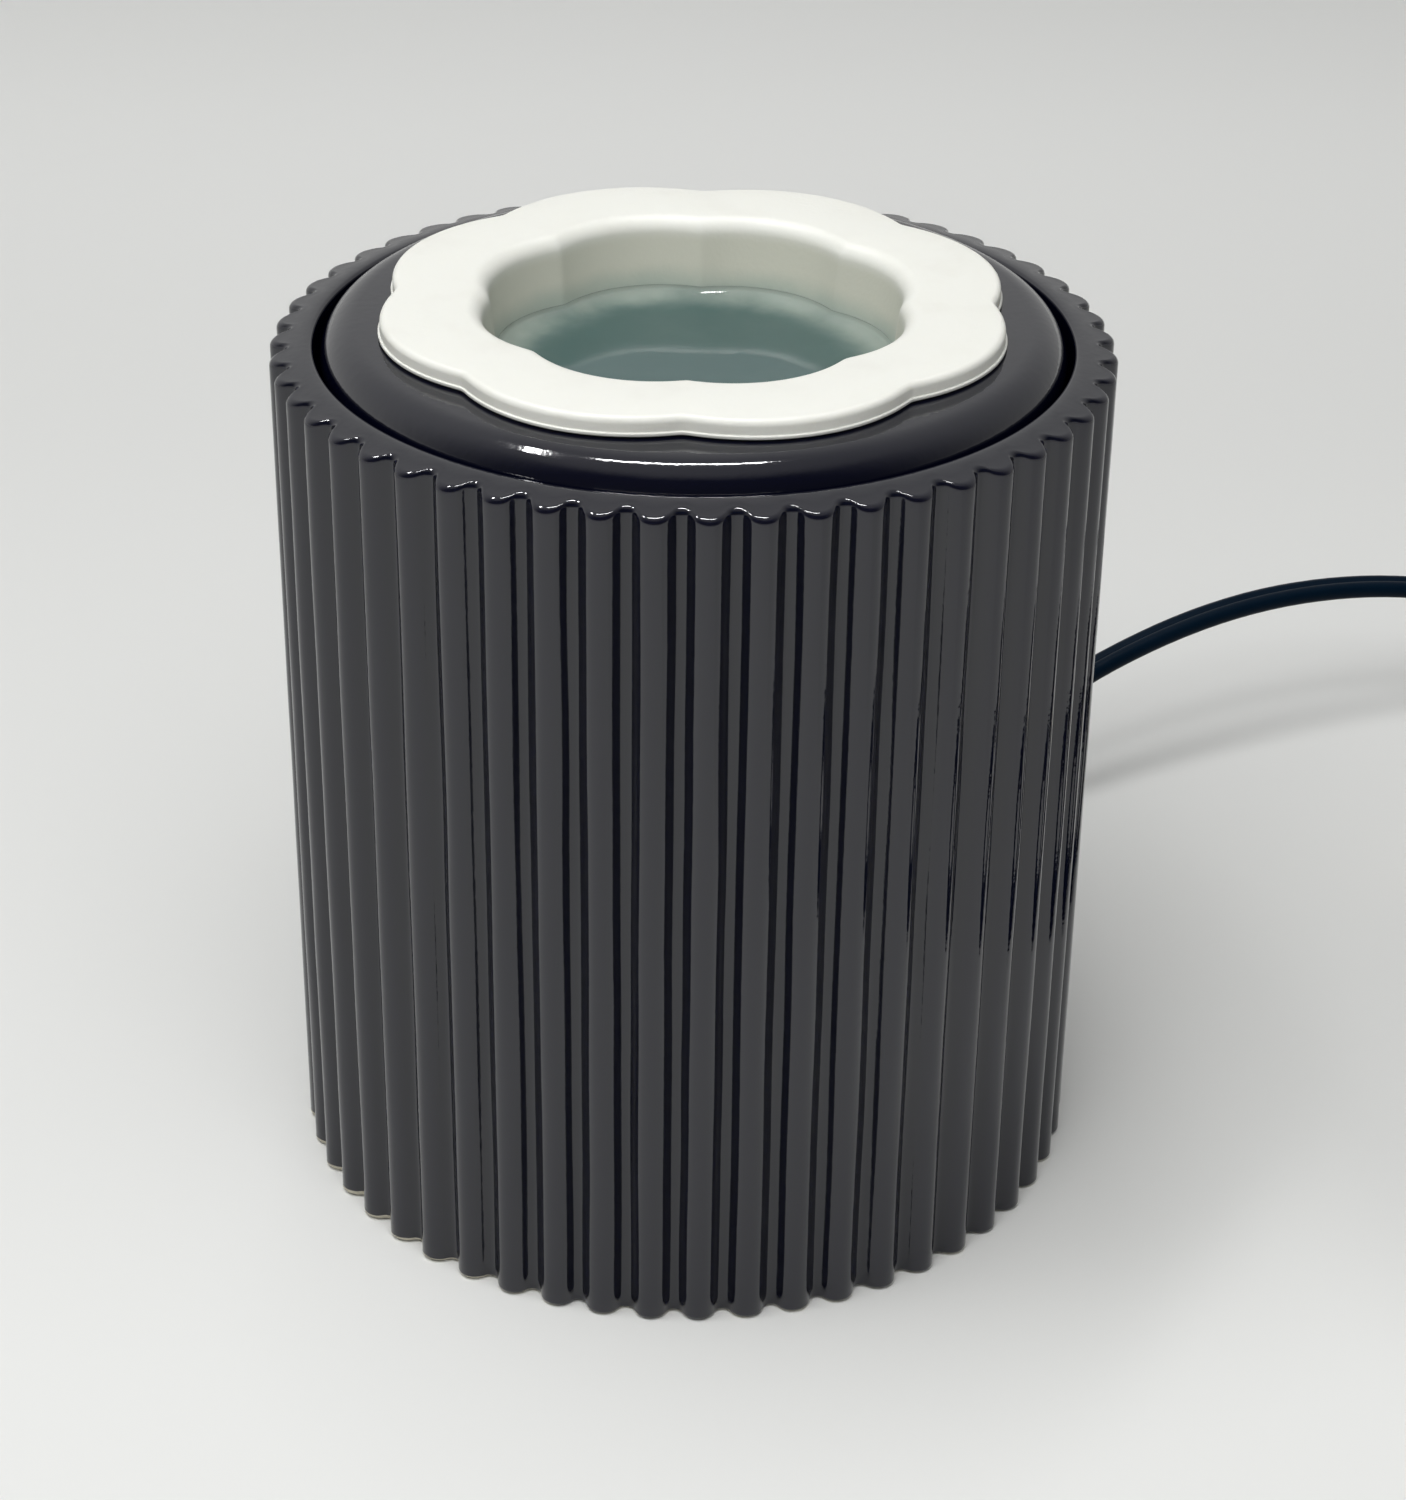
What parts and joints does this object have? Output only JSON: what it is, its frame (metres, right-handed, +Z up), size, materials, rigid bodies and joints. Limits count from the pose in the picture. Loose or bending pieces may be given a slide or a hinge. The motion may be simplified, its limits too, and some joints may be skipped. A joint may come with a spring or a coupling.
{
  "type": "wax melt warmer",
  "caption": "Electric wax-melt warmer: fluted ceramic pot with a hot plate, lift-out dish, soft lobed liner holding melted wax, and a flat lead with in-line switch and plug.",
  "frame": {"origin": "on the table, under the middle of the ceramic body", "axes": "+Z up along the body's axis, -Y towards the user, the lead leaves at the back right between +X and +Y"},
  "size_m": [0.2775, 0.2214, 0.141],
  "materials": {
    "glaze": "gloss",
    "silicone": "matt",
    "wax": "melted, glossy",
    "aluminium": "turned",
    "gasket_rubber": "matt",
    "mica": "matt",
    "fibre": "matt",
    "steel": "zinc plated",
    "fuse_metal": "satin",
    "brass": "bright",
    "wire_white": "matt sleeve",
    "crimp_nylon": "satin",
    "cord_black": "satin vinyl",
    "black_plastic": "fine grain",
    "rocker_plastic": "gloss",
    "foot_rubber": "matt",
    "tie_plastic": "matt"
  },
  "bodies": {
    "warmer": {"body_shell": "glaze", "base_cover": "black_plastic", "rubber_feet": "foot_rubber", "heater_plate": "aluminium", "plate_gasket": "gasket_rubber", "heating_element": "mica", "insulation_disc": "fibre", "backing_plate": "steel", "backing_nut": "steel", "bridge_bracket": "steel", "bridge_washer": "steel", "bridge_nut": "steel", "tie_rod": "steel", "base_washer": "steel", "base_nut": "steel", "thermal_fuse": "fuse_metal", "fuse_clip": "steel", "clip_rivets": "brass", "fuse_jumper": "wire_white", "live_wire": "wire_white", "neutral_wire": "wire_white", "crimp_connectors": "crimp_nylon", "lead_cores": "cord_black", "inner_lead": "cord_black", "cord_clamp": "black_plastic", "clamp_screws": "steel", "strain_relief": "cord_black", "cord_lead": "cord_black", "cord_tail": "cord_black", "cord_coil": "cord_black", "cord_end": "cord_black", "coil_tie": "tie_plastic", "switch_lower": "black_plastic", "switch_upper": "black_plastic", "switch_terminals": "brass", "switch_wires": "cord_black", "switch_screws": "steel", "plug_body": "cord_black", "plug_blades": "brass"},
    "dish": {"dish": "glaze"},
    "liner": {"silicone_liner": "silicone", "wax_pool": "wax"},
    "rocker": {"switch_rocker": "rocker_plastic"}
  },
  "joints": [
    {"name": "dish_lift", "type": "slide", "parent": "warmer", "child": "dish", "axis": [0, 0, 1], "range_m": [0, 0.045]},
    {"name": "liner_lift", "type": "slide", "parent": "dish", "child": "liner", "axis": [0, 0, 1], "range_m": [0, 0.04]},
    {"name": "switch_rock", "type": "hinge", "parent": "warmer", "child": "rocker", "pos_m": [0.203, 0.04, 0.0116], "axis": [-1, 0, 0], "range_deg": [0, 16]}
  ]
}
